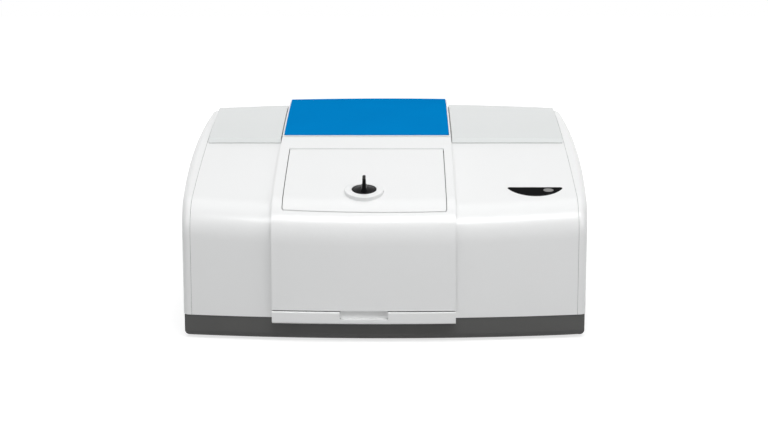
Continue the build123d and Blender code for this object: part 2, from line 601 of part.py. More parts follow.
DISC_LOW = 1.3                # gap between the disc and the lid
DISC_SINK = 0.4               # the disc's edge lies this far below the collar's face
DISC_RISE = 1.6               # the disc is a low cone up to the grip's foot
DISC_CROWN = 6.0
GRIP_FOOT = 5.0               # height of the flared foot of the grip, above the disc's edge
GRIP_LOW = (21.0, 10.0)       # length and width of the grip on the disc, above its foot and at its tip
GRIP_MID = (17.0, 4.6)
GRIP_TIP = (14.0, 3.8)
disc_top = COLLAR_HEIGHT - DISC_SINK
with BuildPart() as knob:
    with BuildSketch(knob_plane.offset(DISC_LOW)):
        Circle(KNOB_R)
    extrude(amount=disc_top - DISC_LOW)
    with BuildSketch(knob_plane.offset(disc_top)):
        Circle(KNOB_R)
    with BuildSketch(knob_plane.offset(disc_top + DISC_RISE)):
        Circle(DISC_CROWN)
    loft()
    with BuildSketch(knob_plane.offset(disc_top)):
        SlotOverall(*GRIP_LOW, rotation=90)
    with BuildSketch(knob_plane.offset(disc_top + GRIP_FOOT)):
        SlotOverall(*GRIP_MID, rotation=90)
    loft()
    with BuildSketch(knob_plane.offset(disc_top + GRIP_FOOT)):
        SlotOverall(*GRIP_MID, rotation=90)
    with BuildSketch(knob_plane.offset(disc_top + STEM_HEIGHT)):
        SlotOverall(*GRIP_TIP, rotation=90)
    loft()
    tip = knob.faces().sort_by(lambda f: f.center().dot(knob_plane.z_dir))[-1]
    fillet(tip.edges(), GRIP_TIP[1] / 3)
    with BuildSketch(knob_plane.offset(-LATCH_DROP)):
        Circle(SPINDLE_R)
    extrude(amount=LATCH_DROP + DISC_LOW)
    with Locations(knob_plane.offset(-LATCH_DROP).location * Rotation(180, 0, 0)):
        Hole(LATCH_SCREW_R, depth=LATCH_SCREW_DEPTH + RUN_GAP)
save(knob.part, "knob")

with BuildPart() as latch_arm:
    with BuildSketch(knob_plane.offset(-LATCH_DROP - LATCH_THICK)):
        with Locations(((LATCH_LENGTH - LATCH_WIDTH / 2) / 2, 0)):
            SlotOverall(LATCH_LENGTH + LATCH_WIDTH / 2, LATCH_WIDTH)
        Circle(LATCH_SCREW_R + SEAM, mode=Mode.SUBTRACT)
    extrude(amount=LATCH_THICK)
save(latch_arm.part, "latch_arm")

with BuildPart() as latch_screw:
    head_low = -LATCH_DROP - LATCH_THICK - LATCH_SCREW_HEAD[1]
    with BuildSketch(knob_plane.offset(head_low)):
        Circle(LATCH_SCREW_HEAD[0])
        RegularPolygon(LATCH_SCREW_R + 0.1, 6, mode=Mode.SUBTRACT)
    extrude(amount=LATCH_SCREW_HEAD[1])
    with BuildSketch(knob_plane.offset(head_low + LATCH_SCREW_HEAD[1] * 0.7)):
        Circle(LATCH_SCREW_R)
    extrude(amount=LATCH_SCREW_HEAD[1] * 0.3 + LATCH_THICK + LATCH_SCREW_DEPTH)
save(latch_screw.part, "latch_screw")

# Rear of the bridge: a shell over the gap between the hoods, down to the base, with the blue cap on it
cap_x = (BRIDGE_X[0] + CAP_INSET, BRIDGE_X[1] - CAP_INSET)
cap_top = envelope(COVER_PROUD + CAP_THICK - CAP_SINK, bottom=0, rounded_ends=False)
cap_low = envelope(COVER_PROUD - CAP_SINK, bottom=-1, rounded_ends=False)


def cap_block(x_range, y_low, z_low, low):
    """What lies between the cap's top form and a lower form, inside two X values."""
    with BuildPart() as block:
        add(cap_top)
        add(low, mode=Mode.SUBTRACT)
        span_box(x_range, (y_low, FAR), (z_low, HIGH), mode=Mode.INTERSECT)
    return block.part


with BuildPart() as rear_inside:
    add(bridge_inner)
    span_box(inner_x, (HINGE_SEAM_Y + WALL, FAR), (BASE_TOP_Z + WALL, HIGH), mode=Mode.INTERSECT)
with BuildPart() as bridge_rear:
    add(bridge_form)
    add(bridge_foot, mode=Mode.SUBTRACT)
    span_box(BRIDGE_X, (HINGE_SEAM_Y, FAR), (BASE_TOP_Z + SEAM, HIGH), mode=Mode.INTERSECT)
    add(rear_inside.part, mode=Mode.SUBTRACT)
    cut_x = (cap_x[0] - SEAM, cap_x[1] + SEAM)
    add(cap_block(cut_x, CAP_Y - SEAM, CAP_LIP_Z - SEAM, cap_low), mode=Mode.SUBTRACT)
    span_box(IO_X, (REAR_Y - REAR_BOW * 2, FAR), IO_Z, mode=Mode.SUBTRACT)
save(bridge_rear.part, "bridge_rear")

with BuildPart() as blue_cap:
    add(cap_block(cap_x, CAP_Y, CAP_LIP_Z, cap_low))
    upright = blue_cap.edges().filter_by(lambda e: abs(e.tangent_at(0.5).Z) > 0.9)
    fillet(upright.filter_by(lambda e: e.length < CAP_THICK * 2), CAP_CORNER)
save(blue_cap.part, "blue_cap")

# Sample compartment: a floor with a front lip, three upright walls and a beam port in each side wall
PORT_R = 19.0                 # of the salt windows
PORT_THICK = 5.0
PORT_CHAMFER = 0.4
RING_R = (17.0, 26.0)
RING_THICK = 2.5
RING_CHAMFER = 1.2
RING_SCREWS = (22.5, 1.2, 4)  # radius of their circle, radius of a hole, number
FLOOR_FRONT_INSET = 27.0      # from the sill's foremost line to the compartment's floor
FLOOR_HOLES = (70.0, 2.5)     # pitch and radius of the holes that accessories are fixed by
bench_top = BENCH_Z[1]
floor_y = (-DEPTH / 2 + FLOOR_FRONT_INSET, wall_y[0])
with BuildPart() as compartment_floor:
    span_box(WELL_X, floor_y, (bench_top, bench_top + WALL))
    span_box(WELL_X, (floor_y[0], floor_y[0] + WALL), (bench_top, SILL_Z[1]))
    lip = compartment_floor.edges().filter_by(Axis.X).group_by(Axis.Z)[-1]
    fillet(lip, 1)
    with BuildSketch(Plane.XY.offset(bench_top)):
        with Locations((BRIDGE_MID_X, BEAM_Y)):
            with GridLocations(FLOOR_HOLES[0], FLOOR_HOLES[0], 2, 2):
                Circle(FLOOR_HOLES[1])
    extrude(amount=WALL, mode=Mode.SUBTRACT)
save(compartment_floor.part, "compartment_floor")

for x_low, name in ((wall_x[0], "compartment_left_wall"), (WELL_X[1], "compartment_right_wall")):
    with BuildPart() as side_wall:
        span_box((x_low, x_low + WALL), (-FAR, wall_y[0]), (bench_top, HIGH))
        add(wall_limit, mode=Mode.INTERSECT)
        span_box((-FAR, FAR), (-FAR, floor_y[0]), (0, SILL_Z[1] + SEAM), mode=Mode.SUBTRACT)
        with BuildSketch(Plane.YZ.offset(x_low)):
            with Locations((BEAM_Y, BEAM_Z)):
                Circle(PORT_R + FIT)
        extrude(amount=WALL, mode=Mode.SUBTRACT)
    save(side_wall.part, name)

with BuildPart() as compartment_rear_wall:
    span_box(wall_x, wall_y, (bench_top, HIGH))
    add(wall_limit, mode=Mode.INTERSECT)
save(compartment_rear_wall.part, "compartment_rear_wall")

# Beam ports: a round salt window in each side wall, behind a ring with four screws
port_faces = {"left": (WELL_X[0], 1), "right": (WELL_X[1], -1)}
for side, (x_face, inward) in port_faces.items():
    port_plane = Plane(origin=(x_face, BEAM_Y, BEAM_Z), x_dir=(0, 1, 0), z_dir=(inward, 0, 0))
    with BuildPart() as beam_window:
        with BuildSketch(port_plane.offset(-PORT_THICK)):
            Circle(PORT_R)
        extrude(amount=PORT_THICK)
        chamfer(beam_window.edges(), PORT_CHAMFER)
    save(beam_window.part, f"{side}_beam_window")
    with BuildPart() as window_ring:
        with BuildSketch(port_plane):
            Circle(RING_R[1])
            Circle(RING_R[0], mode=Mode.SUBTRACT)
            with PolarLocations(RING_SCREWS[0], RING_SCREWS[2], start_angle=45):
                Circle(RING_SCREWS[1], mode=Mode.SUBTRACT)
        extrude(amount=RING_THICK)
        round_edges = window_ring.edges().filter_by(GeomType.CIRCLE)
        inner_rims = round_edges.filter_by(lambda e: abs(e.radius - RING_R[0]) < 0.1)
        chamfer(inner_rims.sort_by(lambda e: e.center().X * inward)[-1], RING_CHAMFER)
    save(window_ring.part, f"{side}_window_ring")

# Sample holder: a slotted stand on the floor and a card that slides up in it, across the beam
CARD = (2.0, 50.0, 66.0)      # thickness, width and the height that stands in the slot
CARD_TAB = 8.0                # what stands above the stand, to lift the card by
CARD_HOLE_R = 10.0
CARD_CORNER = 4.0
CARD_BELOW_BEAM = 34.0
RAIL = 6.0
RAIL_LAP = 5.0                # how far the slots hold the card's edges
STAND_FOOT = (26.0, 44.0, 5.0)
stand_floor = bench_top + WALL
foot_top = stand_floor + STAND_FOOT[2]
card_low = BEAM_Z - CARD_BELOW_BEAM
foot_x = (BRIDGE_MID_X - STAND_FOOT[0], BRIDGE_MID_X + STAND_FOOT[0])
with BuildPart() as sample_stand:
    span_box(foot_x, (BEAM_Y - STAND_FOOT[1], BEAM_Y + STAND_FOOT[1]), (stand_floor, foot_top))
    fillet(sample_stand.edges().filter_by(Axis.Z), RAIL)
    plate_y = (BEAM_Y - CARD[1] / 2 - RAIL, BEAM_Y + CARD[1] / 2 + RAIL)
    span_box((BRIDGE_MID_X - RAIL, BRIDGE_MID_X + RAIL), plate_y, (foot_top, card_low + CARD[2]))
    slot_y = (BEAM_Y - CARD[1] / 2 - SEAM, BEAM_Y + CARD[1] / 2 + SEAM)
    slot_x = (BRIDGE_MID_X - CARD[0] / 2 - SEAM, BRIDGE_MID_X + CARD[0] / 2 + SEAM)
    span_box(slot_x, slot_y, (card_low - SEAM, HIGH), mode=Mode.SUBTRACT)
    opening_y = (BEAM_Y - CARD[1] / 2 + RAIL_LAP, BEAM_Y + CARD[1] / 2 - RAIL_LAP)
    span_box(foot_x, opening_y, (card_low + RAIL, HIGH), mode=Mode.SUBTRACT)
save(sample_stand.part, "sample_stand")

with BuildPart() as sample_card:
    with BuildSketch(Plane.YZ.offset(BRIDGE_MID_X - CARD[0] / 2)):
        with Locations((BEAM_Y, card_low + (CARD[2] + CARD_TAB) / 2)):
            RectangleRounded(CARD[1], CARD[2] + CARD_TAB, CARD_CORNER)
        with Locations((BEAM_Y, BEAM_Z)):
            Circle(CARD_HOLE_R, mode=Mode.SUBTRACT)
        with Locations((BEAM_Y, card_low + CARD[2])):
            SlotOverall(18, 5, mode=Mode.SUBTRACT)
    extrude(amount=CARD[0])
save(sample_card.part, "sample_card")

# Rear connection plate, stood on the tray's rear ledge, with the inlet, the switch and a data socket
INLET_X = -70.0
SWITCH_X = -32.0
SOCKET_X = 4.0
GRILLE_X = 31.0
GRILLE = (5.0, 7, 20.0, 2.2)  # pitch and number of the slots, and their length and width
IO_MID_Z = 62.0
INLET_BODY = (27.0, 20.0, 20.0)   # width, height and depth behind the plate
INLET_FLANGE = (3.0, 2.5)         # how far it overlaps the plate, and its thickness
INLET_MOUTH = (12.0, 8.0, 4.0)    # half width and half height of the mouth, and its corners' cut
INLET_DEPTH = 17.0
PIN_SIZE = (2.0, 4.0, 22.0)
PIN_SPOTS = ((-7.0, -2.0), (0.0, 2.0), (7.0, -2.0))
PIN_TAIL = 4.0                    # what stands out behind the inlet's body
PIN_CHAMFER = 0.5
SWITCH_BODY = (13.0, 19.0, 18.0)
SWITCH_FLANGE = (1.5, 1.8)
SWITCH_MOUTH = (10.0, 18.0, 14.8)
ROCKER_AXIS = 3.0                 # depth of the rocker's axis behind the plate's outer face
ROCKER_HALF = 8.0                 # half length of the rocker's face
ROCKER_FACE = (4.2, 5.4)          # how far its ends and its middle stand out from the axis
ROCKER_HEEL = (3.0, 6.0)
ROCKER_ROUND = 6.0
SOCKET_BODY = (12.0, 11.0, 12.0)
SOCKET_LIP = 1.0
SOCKET_MOUTH = (4.3, 4.0, 1.7)    # half width and half height, and its corners' cut
SOCKET_DEPTH = 9.0
SOCKET_TONGUE = (5.6, 3.2, 7.0)


def on_rear(x, out=0.0):
    """The rear plate's outer face with its origin at an X, moved outward by a distance."""
    return Plane(origin=(x, IO_PLATE_Y[1] + out, IO_MID_Z), x_dir=(-1, 0, 0), z_dir=(0, 1, 0))


with BuildPart() as rear_plate:
    span_box((wall_x[0] + PLATE_THICK, wall_x[1] - PLATE_THICK), IO_PLATE_Y, (BASE_TOP_Z, IO_PLATE_TOP_Z))
    for x, body in ((INLET_X, INLET_BODY), (SWITCH_X, SWITCH_BODY), (SOCKET_X, SOCKET_BODY)):
        with BuildSketch(on_rear(x)):
            Rectangle(body[0] + SEAM, body[1] + SEAM)
        extrude(amount=-PLATE_THICK, mode=Mode.SUBTRACT)
    with BuildSketch(on_rear(GRILLE_X)):
        with GridLocations(0, GRILLE[0], 1, GRILLE[1]):
            SlotOverall(GRILLE[2], GRILLE[3])
    extrude(amount=-PLATE_THICK, mode=Mode.SUBTRACT)
save(rear_plate.part, "rear_plate")

with BuildPart() as mains_inlet:
    with BuildSketch(on_rear(INLET_X)):
        flange = INLET_FLANGE[0]
        RectangleRounded(INLET_BODY[0] + flange * 2, INLET_BODY[1] + flange * 2, flange)
    extrude(amount=INLET_FLANGE[1])
    with BuildSketch(on_rear(INLET_X)):
        Rectangle(INLET_BODY[0], INLET_BODY[1])
    extrude(amount=-INLET_BODY[2])
    with BuildSketch(on_rear(INLET_X, INLET_FLANGE[1])):
        half_width, half_height, cut = INLET_MOUTH
        with BuildLine():
            Polyline(
                (-half_width, -half_height),
                (half_width, -half_height),
                (half_width, half_height - cut),
                (half_width - cut, half_height),
                (-half_width + cut, half_height),
                (-half_width, half_height - cut),
                close=True,
            )
        make_face()
    extrude(amount=-INLET_DEPTH, mode=Mode.SUBTRACT)
    with BuildSketch(on_rear(INLET_X, -INLET_BODY[2])):
        with Locations(*PIN_SPOTS):
            Rectangle(PIN_SIZE[0] + FIT * 2, PIN_SIZE[1] + FIT * 2)
    extrude(amount=INLET_BODY[2] / 2, mode=Mode.SUBTRACT)
save(mains_inlet.part, "mains_inlet")

with BuildPart() as inlet_pins:
    with BuildSketch(on_rear(INLET_X, -INLET_BODY[2] - PIN_TAIL)):
        with Locations(*PIN_SPOTS):
            Rectangle(PIN_SIZE[0], PIN_SIZE[1])
    extrude(amount=PIN_SIZE[2])
    chamfer(inlet_pins.faces().sort_by(Axis.Y)[-3:].edges(), PIN_CHAMFER)
save(inlet_pins.part, "inlet_pins")

with BuildPart() as switch_body:
    with BuildSketch(on_rear(SWITCH_X)):
        flange = SWITCH_FLANGE[0]
        RectangleRounded(SWITCH_BODY[0] + flange * 2, SWITCH_BODY[1] + flange * 2, flange)
    extrude(amount=SWITCH_FLANGE[1])
    with BuildSketch(on_rear(SWITCH_X)):
        Rectangle(SWITCH_BODY[0], SWITCH_BODY[1])
    extrude(amount=-SWITCH_BODY[2])
    with BuildSketch(on_rear(SWITCH_X, SWITCH_FLANGE[1])):
        Rectangle(SWITCH_MOUTH[0], SWITCH_MOUTH[1])
    extrude(amount=-SWITCH_MOUTH[2], mode=Mode.SUBTRACT)
save(switch_body.part, "switch_body")

rocker_width = SWITCH_MOUTH[0] - RUN_GAP
rocker_plane = Plane(
    origin=(SWITCH_X - rocker_width / 2, IO_PLATE_Y[1] - ROCKER_AXIS, IO_MID_Z),
    x_dir=(0, 1, 0),
    z_dir=(1, 0, 0),
)
with BuildPart() as switch_rocker:
    with BuildSketch(rocker_plane):
        with BuildLine():
            Polyline(
                (0, -ROCKER_HALF),
                (ROCKER_FACE[0], -ROCKER_HALF),
                (ROCKER_FACE[1], 0),
                (ROCKER_FACE[0], ROCKER_HALF),
                (0, ROCKER_HALF),
                (-ROCKER_HEEL[1], ROCKER_HEEL[0]),
                (-ROCKER_HEEL[1], -ROCKER_HEEL[0]),
                close=True,
            )
        make_face()
    extrude(amount=rocker_width)
    crown = switch_rocker.edges().filter_by(Axis.X).sort_by(Axis.Y)[-1]
    fillet(crown, ROCKER_ROUND)
save(switch_rocker.part, "switch_rocker")

with BuildPart() as data_socket:
    with BuildSketch(on_rear(SOCKET_X, -SOCKET_BODY[2])):
        Rectangle(SOCKET_BODY[0], SOCKET_BODY[1])
    extrude(amount=SOCKET_BODY[2] + SOCKET_LIP)
    with BuildSketch(on_rear(SOCKET_X, SOCKET_LIP)):
        half_width, half_height, cut = SOCKET_MOUTH
        with BuildLine():
            Polyline(
                (-half_width, -half_height),
                (half_width, -half_height),
                (half_width, half_height - cut),
                (half_width - cut, half_height),
                (-half_width + cut, half_height),
                (-half_width, half_height - cut),
                close=True,
            )
        make_face()
    extrude(amount=-SOCKET_DEPTH, mode=Mode.SUBTRACT)
    with BuildSketch(on_rear(SOCKET_X, SOCKET_LIP - SOCKET_DEPTH)):
        Rectangle(SOCKET_TONGUE[0], SOCKET_TONGUE[1])
    extrude(amount=SOCKET_TONGUE[2])
save(data_socket.part, "data_socket")

# Optics on the bench under the left hood: source, interferometer with its moving mirror, laser
MOUNT_FOOT = 8.0              # thickness of the feet that the mounts are screwed down by
FIXED_MIRROR_INSET = 19.0     # from the housing's corners' X to the back of the fixed mirror's mount
MIRROR_R = 13.0
MIRROR_THICK = 4.0
SPLIT_R = 16.0
SPLIT_RIM = 5.0
SPLIT_THICK = 6.0
SPLIT_CELL = 10.0
SPLIT_FOOT = 20.0             # half the width and depth of the beamsplitter mount's foot
POST_WIDTH = 42.0
mirror_back_x = -SIDE_X + FIXED_MIRROR_INSET
mirror_face_x = mirror_back_x + MOUNT_FOOT + MIRROR_THICK
split_x = (mirror_face_x + wall_x[0]) / 2
beam_drop = BEAM_Z - bench_top

SCAN_MID = 62.0               # from the beam to the moving mirror's back
GUIDE_Y = (-30.0, 60.0)       # of its guide's foot, from the mirror's back
scan_y = BEAM_Y + SCAN_MID
SOURCE_R = 14.0
FIN_R = 18.0
FIN_COUNT = 5
FIN_PITCH = 7.0
FIN_LOW = 48.0                # height of the lowest cooling fin above the bench
SOURCE_HEIGHT = 84.0
SOURCE_MOUTH_R = 7.0
SOURCE_FOOT = (16.0, 20.0)
SOURCE_GAP = 2.0              # from the moving mirror's guide to the source's foot
source_x = mirror_back_x + FIN_R + SOURCE_GAP
source_y = scan_y + GUIDE_Y[1] + SOURCE_GAP + SOURCE_FOOT[1]
with BuildPart() as source_housing:
    foot_x = (source_x - SOURCE_FOOT[0], source_x + SOURCE_FOOT[0])
    foot_y = (source_y - SOURCE_FOOT[1], source_y + SOURCE_FOOT[1])
    span_box(foot_x, foot_y, (bench_top, bench_top + MOUNT_FOOT))
    with BuildSketch(Plane.XY.offset(bench_top + MOUNT_FOOT)):
        with Locations((source_x, source_y)):
            Circle(SOURCE_R)
    extrude(amount=SOURCE_HEIGHT - MOUNT_FOOT)
    for level in range(FIN_COUNT):
        with BuildSketch(Plane.XY.offset(bench_top + FIN_LOW + level * FIN_PITCH)):
            with Locations((source_x, source_y)):
                Circle(FIN_R)
        extrude(amount=2)
    with BuildSketch(Plane.XZ.offset(-source_y)):
        with Locations((source_x, BEAM_Z)):
            Circle(SOURCE_MOUTH_R)
    extrude(amount=FIN_R * 2, mode=Mode.SUBTRACT)
save(source_housing.part, "source_housing")

split_plane = Plane(origin=(split_x, BEAM_Y, BEAM_Z), x_dir=(0, 0, 1), z_dir=(1, 1, 0))
with BuildPart() as beamsplitter_mount:
    foot_x = (split_x - SPLIT_FOOT, split_x + SPLIT_FOOT)
    span_box(foot_x, (BEAM_Y - SPLIT_FOOT, BEAM_Y + SPLIT_FOOT), (bench_top, bench_top + MOUNT_FOOT))
    with BuildSketch(split_plane.offset(-SPLIT_CELL / 2)):
        with Locations((-(beam_drop - MOUNT_FOOT) / 2, 0)):
            Rectangle(beam_drop - MOUNT_FOOT, POST_WIDTH)
        Circle(SPLIT_R + SPLIT_RIM)
    extrude(amount=SPLIT_CELL)
    with BuildSketch(split_plane.offset(-SPLIT_CELL / 2)):
        Circle(SPLIT_R + FIT)
    extrude(amount=SPLIT_CELL, mode=Mode.SUBTRACT)
save(beamsplitter_mount.part, "beamsplitter_mount")

with BuildPart() as beamsplitter:
    with BuildSketch(split_plane.offset(-SPLIT_THICK / 2)):
        Circle(SPLIT_R)
    extrude(amount=SPLIT_THICK)
save(beamsplitter.part, "beamsplitter")

FIXED_PLATE = (18.0, 20.0)    # half its width, and how far it stands above the beam
with BuildPart() as fixed_mirror:
    plate_y = (BEAM_Y - FIXED_PLATE[0], BEAM_Y + FIXED_PLATE[0])
    span_box((mirror_back_x, mirror_back_x + MOUNT_FOOT), plate_y, (bench_top, BEAM_Z + FIXED_PLATE[1]))
    with BuildSketch(Plane.YZ.offset(mirror_back_x + MOUNT_FOOT)):
        with Locations((BEAM_Y, BEAM_Z)):
            Circle(MIRROR_R)
    extrude(amount=MIRROR_THICK)
save(fixed_mirror.part, "fixed_mirror")

# Moving mirror: a carriage between two rails, with a rod that enters the coil
GUIDE_BASE = 10.0
RAIL_Y = (-26.0, 56.0)
RAIL_WIDTH = 5.0
RAIL_HEIGHT = 8.0
CARRIAGE_HALF = 14.0
CARRIAGE_LENGTH = 26.0
CARRIAGE_PLATE = 8.0
CARRIAGE_TOP = 10.0           # height of the carriage's slide above the guide's foot
COIL_ROD = (8.0, 46.0)
COIL_BACK = 44.0
COIL_R = (9.0, 13.0)
COIL_LENGTH = 16.0
guide_top = bench_top + GUIDE_BASE
rail_in = CARRIAGE_HALF + RUN_GAP
guide_x = (split_x - rail_in - RAIL_WIDTH, split_x + rail_in + RAIL_WIDTH)
carriage_x = (split_x - CARRIAGE_HALF, split_x + CARRIAGE_HALF)
with BuildPart() as scan_guide:
    span_box(guide_x, (scan_y + GUIDE_Y[0], scan_y + GUIDE_Y[1]), (bench_top, guide_top))
    for rail_x in ((guide_x[0], guide_x[0] + RAIL_WIDTH), (guide_x[1] - RAIL_WIDTH, guide_x[1])):
        span_box(rail_x, (scan_y + RAIL_Y[0], scan_y + RAIL_Y[1]), (guide_top, guide_top + RAIL_HEIGHT))
    back_y = (scan_y + COIL_BACK, scan_y + GUIDE_Y[1])
    span_box(guide_x, back_y, (guide_top + RAIL_HEIGHT, BEAM_Z + FIXED_PLATE[1]))
    with BuildSketch(Plane.XZ.offset(-scan_y - COIL_BACK)):
        with Locations((split_x, BEAM_Z)):
            Circle(COIL_R[1])
    extrude(amount=-COIL_LENGTH, mode=Mode.SUBTRACT)
save(scan_guide.part, "scan_guide")

with BuildPart() as moving_mirror:
    slide_y = (scan_y - CARRIAGE_PLATE, scan_y + CARRIAGE_LENGTH)
    span_box(carriage_x, slide_y, (guide_top + SEAM, guide_top + CARRIAGE_TOP))
    plate_z = (guide_top + CARRIAGE_TOP, BEAM_Z + FIXED_PLATE[0])
    span_box(carriage_x, (scan_y - CARRIAGE_PLATE, scan_y), plate_z)
    with BuildSketch(Plane.XZ.offset(-scan_y + CARRIAGE_PLATE)):
        with Locations((split_x, BEAM_Z)):
            Circle(MIRROR_R)
    extrude(amount=MIRROR_THICK)
    with BuildSketch(Plane.XZ.offset(-scan_y)):
        with Locations((split_x, BEAM_Z)):
            Circle(COIL_ROD[0])
    extrude(amount=-COIL_ROD[1])
save(moving_mirror.part, "moving_mirror")

with BuildPart() as coil_magnet:
    with BuildSketch(Plane.XZ.offset(-scan_y - COIL_BACK)):
        with Locations((split_x, BEAM_Z)):
            Circle(COIL_R[1] - FIT)
            Circle(COIL_R[0], mode=Mode.SUBTRACT)
    extrude(amount=-COIL_LENGTH)
save(coil_magnet.part, "coil_magnet")

LASER_R = 9.0
LASER_LENGTH = 50.0
LASER_SIDE = 27.0             # from the compartment's wall to the laser's axis
LASER_Z = 24.0                # of its axis above the bench
LASER_FRONT = 1.0             # from the bench's front edge
CRADLE = (12.0, 8.0, 20.0)
CRADLE_SPOTS = (4.0, 36.0)
laser_x = wall_x[0] - LASER_SIDE
laser_y = -BENCH_Y + LASER_FRONT
with BuildPart() as laser_tube:
    with BuildSketch(Plane.XZ.offset(-laser_y)):
        with Locations((laser_x, bench_top + LASER_Z)):
            Circle(LASER_R)
    extrude(amount=-LASER_LENGTH)
    for spot in CRADLE_SPOTS:
        cradle_x = (laser_x - CRADLE[0], laser_x + CRADLE[0])
        cradle_y = (laser_y + spot, laser_y + spot + CRADLE[1])
        span_box(cradle_x, cradle_y, (bench_top, bench_top + CRADLE[2]))
save(laser_tube.part, "laser_tube")

# Under the right hood: focusing mirror, detector, control board and power supply
right_mid_x = (wall_x[1] + END_SEAM_X) / 2
FOCUS_SHIFT = 15.5            # of the mirror and the detector, from the middle of the bay
FOCUS_FOOT = (14.0, 20.0)
FOCUS_R = 20.0
FOCUS_POST = 24.0
FOCUS_THICK = 10.0
BOWL_R = 82.0                 # of the concave face
BOWL_DEPTH = 2.0
focus_x = right_mid_x + FOCUS_SHIFT
with BuildPart() as focus_mirror:
    foot_x = (focus_x - FOCUS_FOOT[0], focus_x + FOCUS_FOOT[0])
    span_box(foot_x, (BEAM_Y - FOCUS_FOOT[1], BEAM_Y + FOCUS_FOOT[1]), (bench_top, bench_top + MOUNT_FOOT))
    focus_plane = Plane(origin=(focus_x, BEAM_Y, BEAM_Z), x_dir=(0, 0, 1), z_dir=(-1, 1, 0))
    with BuildSketch(focus_plane.offset(-FOCUS_THICK)):
        with Locations((-(beam_drop - MOUNT_FOOT) / 2, 0)):
            Rectangle(beam_drop - MOUNT_FOOT, FOCUS_POST)
        Circle(FOCUS_R)
    extrude(amount=FOCUS_THICK)
    with Locations(focus_plane.offset(BOWL_R - BOWL_DEPTH)):
        Sphere(BOWL_R, mode=Mode.SUBTRACT)
save(focus_mirror.part, "focus_mirror")

DETECTOR_HALF = 20.0
DETECTOR_GAP = 12.0           # from the focusing mirror's foot to the detector
DETECTOR_ROUND = 4.0
NOSE = (12.0, 8.0, 6.0)
detector_front = BEAM_Y + FOCUS_FOOT[1] + DETECTOR_GAP
detector_y = (detector_front, detector_front + DETECTOR_HALF * 2)
with BuildPart() as detector:
    body_x = (focus_x - DETECTOR_HALF, focus_x + DETECTOR_HALF)
    span_box(body_x, detector_y, (bench_top, BEAM_Z + DETECTOR_HALF))
    fillet(detector.edges().filter_by(Axis.Z), DETECTOR_ROUND)
    with BuildSketch(Plane.XZ.offset(-detector_y[0])):
        with Locations((focus_x, BEAM_Z)):
            Circle(NOSE[0])
    extrude(amount=NOSE[2])
    with BuildSketch(Plane.XZ.offset(-detector_y[0] + NOSE[2])):
        with Locations((focus_x, BEAM_Z)):
            Circle(NOSE[1])
    extrude(amount=-NOSE[2], mode=Mode.SUBTRACT)
save(detector.part, "detector")

BOARD_INSET = (10.5, 17.5)    # from the compartment's wall and from the end seam
BOARD_THICK = 1.6
BOARD_Z = (6.0, 96.0)
CHIP_THICK = 2.5
CHIPS = ((0.21, 30, 16, 16), (0.46, 60, 24, 12), (0.79, 40, 14, 20), (0.3, 70, 20, 8))
STAY = (6.0, 6.4, 30.0)
board_x = (wall_x[1] + BOARD_INSET[0], END_SEAM_X - BOARD_INSET[1])
SUPPLY_REAR_INSET = 2.0       # from the bench's rear edge to the power supply
SUPPLY_SIZE = (66.0, 44.0)
supply_y = (BENCH_Y - SUPPLY_REAR_INSET - SUPPLY_SIZE[0], BENCH_Y - SUPPLY_REAR_INSET)
board_mid = (detector_y[1] + supply_y[0]) / 2
board_y = (board_mid - BOARD_THICK / 2, board_mid + BOARD_THICK / 2)
board_width = board_x[1] - board_x[0]
with BuildPart() as control_board:
    span_box(board_x, board_y, (bench_top + BOARD_Z[0], bench_top + BOARD_Z[1]))
    for share, up, width, height in CHIPS:
        chip_mid = board_x[0] + share * board_width
        chip_x = (chip_mid - width / 2, chip_mid + width / 2)
        chip_z = (bench_top + up - height / 2, bench_top + up + height / 2)
        span_box(chip_x, (board_y[0] - CHIP_THICK, board_y[0]), chip_z)
    for x in (board_x[0] + STAY[0] / 2, board_x[1] - STAY[0] * 1.5):
        span_box((x, x + STAY[0]), (board_y[1], board_y[1] + STAY[1]), (bench_top, bench_top + STAY[2]))
save(control_board.part, "control_board")

SUPPLY_INSET = (18.5, 23.5)
SUPPLY_SLOTS = (12.0, 7, 50.0, 3.0)
SLOT_DEPTH = 2.0
supply_x = (wall_x[1] + SUPPLY_INSET[0], END_SEAM_X - SUPPLY_INSET[1])
supply_top = bench_top + SUPPLY_SIZE[1]
with BuildPart() as power_supply:
    span_box(supply_x, supply_y, (bench_top, supply_top))
    with BuildSketch(Plane.XY.offset(supply_top)):
        with Locations((sum(supply_x) / 2, sum(supply_y) / 2)):
            with GridLocations(SUPPLY_SLOTS[0], 0, SUPPLY_SLOTS[1], 1):
                SlotOverall(SUPPLY_SLOTS[2], SUPPLY_SLOTS[3], rotation=90)
    extrude(amount=-SLOT_DEPTH, mode=Mode.SUBTRACT)
save(power_supply.part, "power_supply")
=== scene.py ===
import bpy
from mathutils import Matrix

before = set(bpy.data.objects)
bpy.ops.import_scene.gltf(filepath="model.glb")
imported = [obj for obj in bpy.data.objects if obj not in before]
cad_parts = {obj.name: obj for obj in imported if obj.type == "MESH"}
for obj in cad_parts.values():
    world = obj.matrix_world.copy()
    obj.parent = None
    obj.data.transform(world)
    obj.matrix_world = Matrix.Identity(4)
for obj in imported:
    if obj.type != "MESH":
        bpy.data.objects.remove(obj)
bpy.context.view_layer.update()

import math

import bpy
import numpy as np

